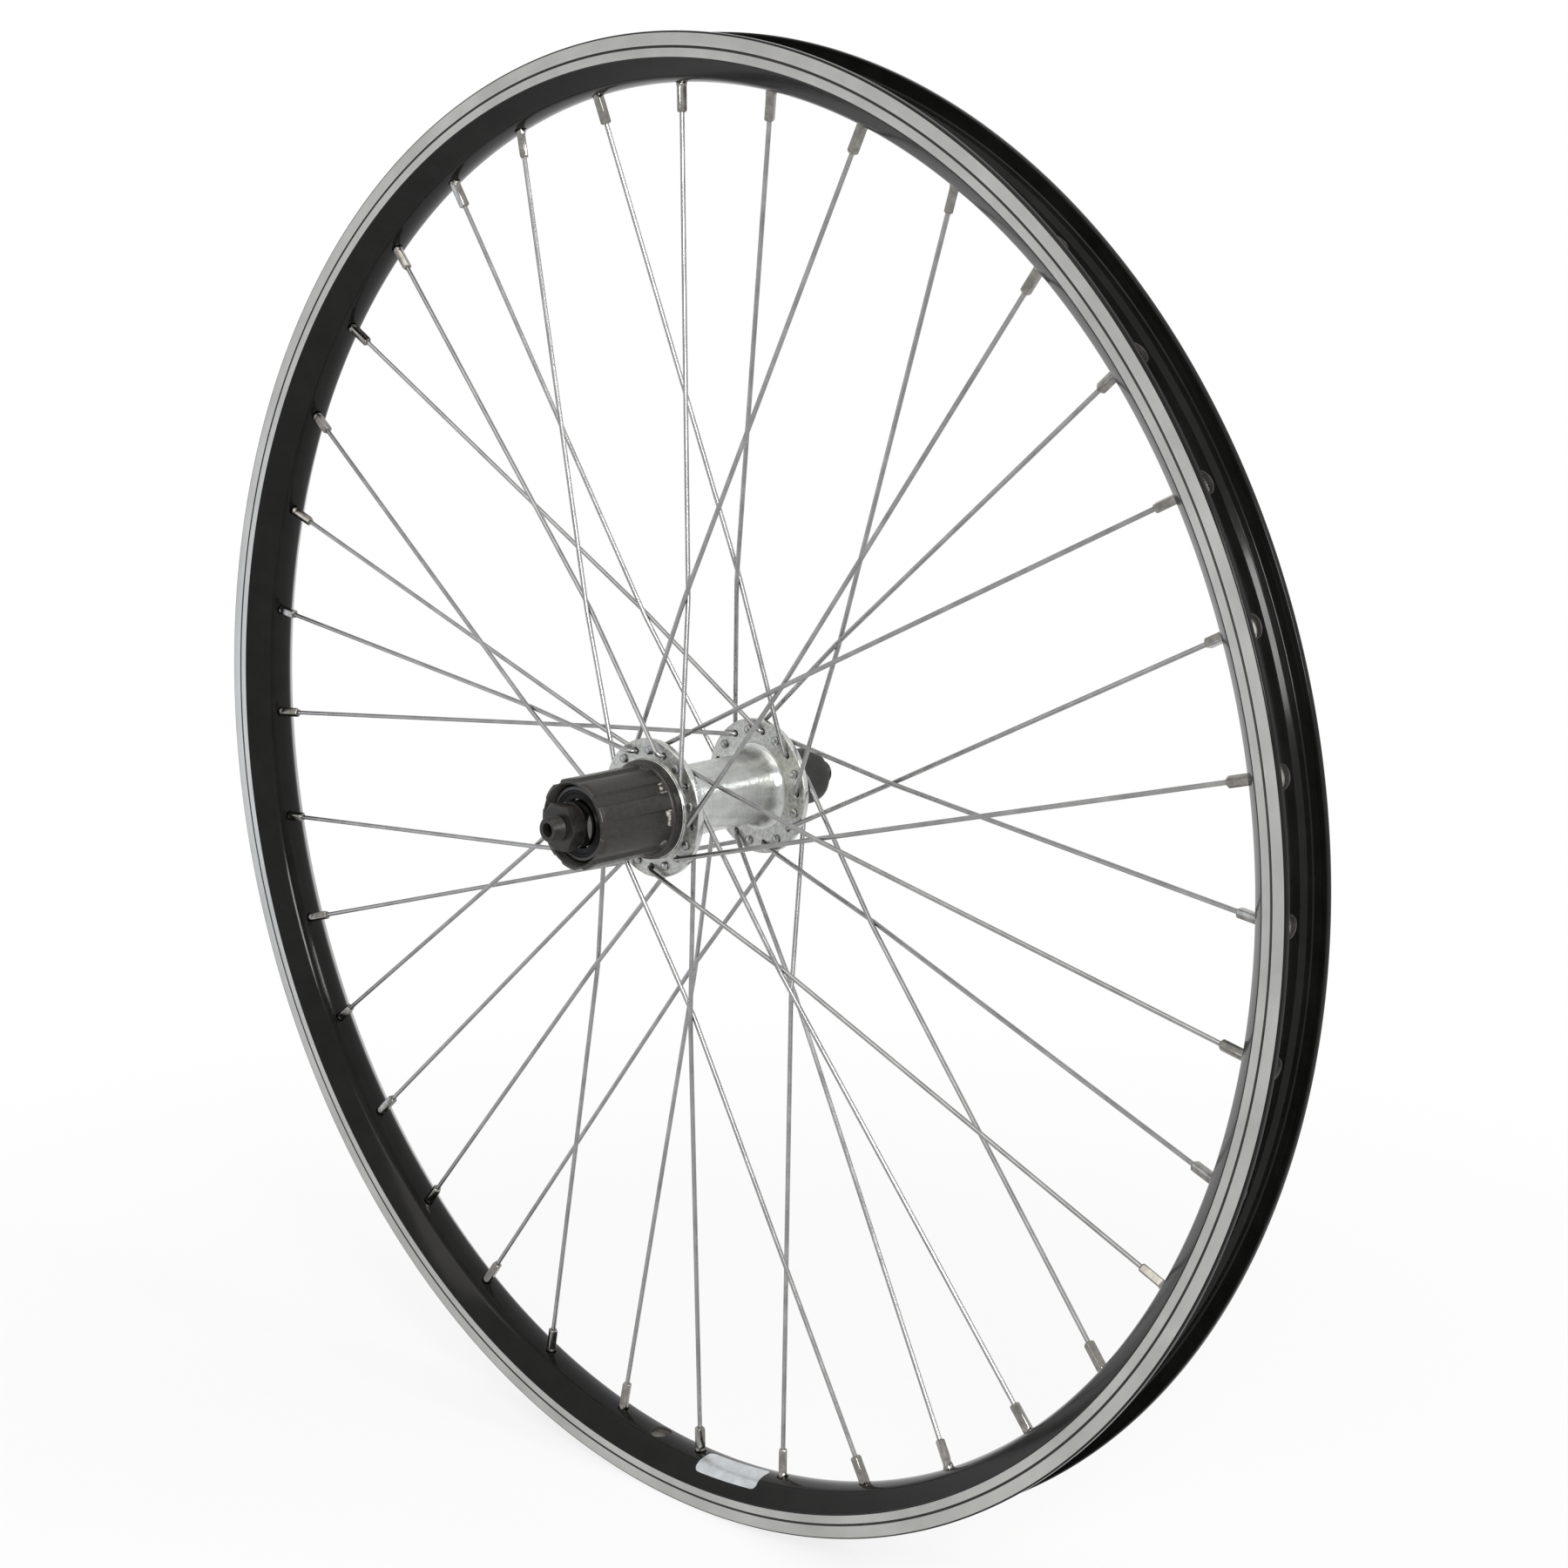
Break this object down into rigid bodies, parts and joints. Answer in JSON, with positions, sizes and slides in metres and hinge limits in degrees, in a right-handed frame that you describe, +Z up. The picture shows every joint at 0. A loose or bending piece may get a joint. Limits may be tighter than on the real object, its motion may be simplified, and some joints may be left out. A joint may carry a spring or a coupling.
{
  "type": "bicycle rear wheel",
  "caption": "Spoked bicycle rear wheel without a tyre: black box-section rim, crossed wire spokes, polished hub and splined freehub on a hollow axle.",
  "frame": {"origin": "middle of the axle, in the rim's middle plane", "axes": "+Y along the axle to the left side, so the freehub is at -Y; +Z up; +X the way the wheel rolls forward"},
  "size_m": [0.5709, 0.145, 0.571],
  "materials": {
    "black_rim": "black anodised, with bare machined brake tracks",
    "spoke_wire": "drawn wire, bright",
    "nipple_plate": "nickel plate",
    "polished_alloy": "polished",
    "black_steel": "black oxide",
    "bearing_steel": "ground",
    "axle_steel": "dark zinc",
    "black_plastic": "moulded",
    "black_rubber": "moulded"
  },
  "bodies": {
    "axle": {"axle": "axle_steel", "cone_left": "bearing_steel", "cone_drive": "bearing_steel", "washer_left": "black_steel", "washer_drive": "black_steel", "spacer_left": "black_steel", "lock_nut_left": "black_steel", "lock_nut_drive": "black_steel", "boot_left": "black_rubber"},
    "wheel": {"rim": "black_rim", "nipples": "nipple_plate", "hub_shell": "polished_alloy", "cup_left": "bearing_steel", "dust_cap_left": "black_plastic", "dust_cap_drive": "black_plastic", "freehub_carrier": "bearing_steel", "freehub_bolt": "bearing_steel", "pawl_springs": "bearing_steel", "spoke_01": "spoke_wire", "spoke_02": "spoke_wire", "spoke_03": "spoke_wire", "spoke_04": "spoke_wire", "spoke_05": "spoke_wire", "spoke_06": "spoke_wire", "spoke_07": "spoke_wire", "spoke_08": "spoke_wire", "spoke_09": "spoke_wire", "spoke_10": "spoke_wire", "spoke_11": "spoke_wire", "spoke_12": "spoke_wire", "spoke_13": "spoke_wire", "spoke_14": "spoke_wire", "spoke_15": "spoke_wire", "spoke_16": "spoke_wire", "spoke_17": "spoke_wire", "spoke_18": "spoke_wire", "spoke_19": "spoke_wire", "spoke_20": "spoke_wire", "spoke_21": "spoke_wire", "spoke_22": "spoke_wire", "spoke_23": "spoke_wire", "spoke_24": "spoke_wire", "spoke_25": "spoke_wire", "spoke_26": "spoke_wire", "spoke_27": "spoke_wire", "spoke_28": "spoke_wire", "spoke_29": "spoke_wire", "spoke_30": "spoke_wire", "spoke_31": "spoke_wire", "spoke_32": "spoke_wire", "spoke_33": "spoke_wire", "spoke_34": "spoke_wire", "spoke_35": "spoke_wire", "spoke_36": "spoke_wire"},
    "freehub": {"freehub_body": "black_steel"},
    "pawl_1": {"pawl_1": "bearing_steel"},
    "pawl_2": {"pawl_2": "bearing_steel"},
    "left_balls": {"balls_left": "bearing_steel"},
    "drive_balls": {"balls_drive": "bearing_steel"}
  },
  "joints": [
    {"name": "wheel_spin", "type": "hinge", "parent": "axle", "child": "wheel", "pos_m": [0, 0, 0], "axis": [0, 1, 0], "continuous": true},
    {"name": "freehub_spin", "type": "hinge", "parent": "wheel", "child": "freehub", "pos_m": [0, 0, 0], "axis": [0, 1, 0], "continuous": true},
    {"name": "pawl_1_swing", "type": "hinge", "parent": "wheel", "child": "pawl_1", "pos_m": [0, -0.0276, 0.0116], "axis": [0, -1, 0], "range_deg": [0, 10], "stiffness_Nm_per_rad": 0.02, "springref_deg": -17.19},
    {"name": "pawl_2_swing", "type": "hinge", "parent": "wheel", "child": "pawl_2", "pos_m": [0, -0.0276, -0.0116], "axis": [0, -1, 0], "range_deg": [0, 10], "stiffness_Nm_per_rad": 0.02, "springref_deg": -17.19},
    {"name": "left_balls_roll", "type": "hinge", "parent": "axle", "child": "left_balls", "pos_m": [0, 0.0415, 0], "axis": [0, 1, 0], "continuous": true},
    {"name": "drive_balls_roll", "type": "hinge", "parent": "axle", "child": "drive_balls", "pos_m": [0, -0.0515, 0], "axis": [0, 1, 0], "continuous": true}
  ],
  "couplings": [
    {"joint": "left_balls_roll", "follows": "wheel_spin", "ratio": 0.618},
    {"joint": "drive_balls_roll", "follows": "wheel_spin", "ratio": 0.618}
  ]
}
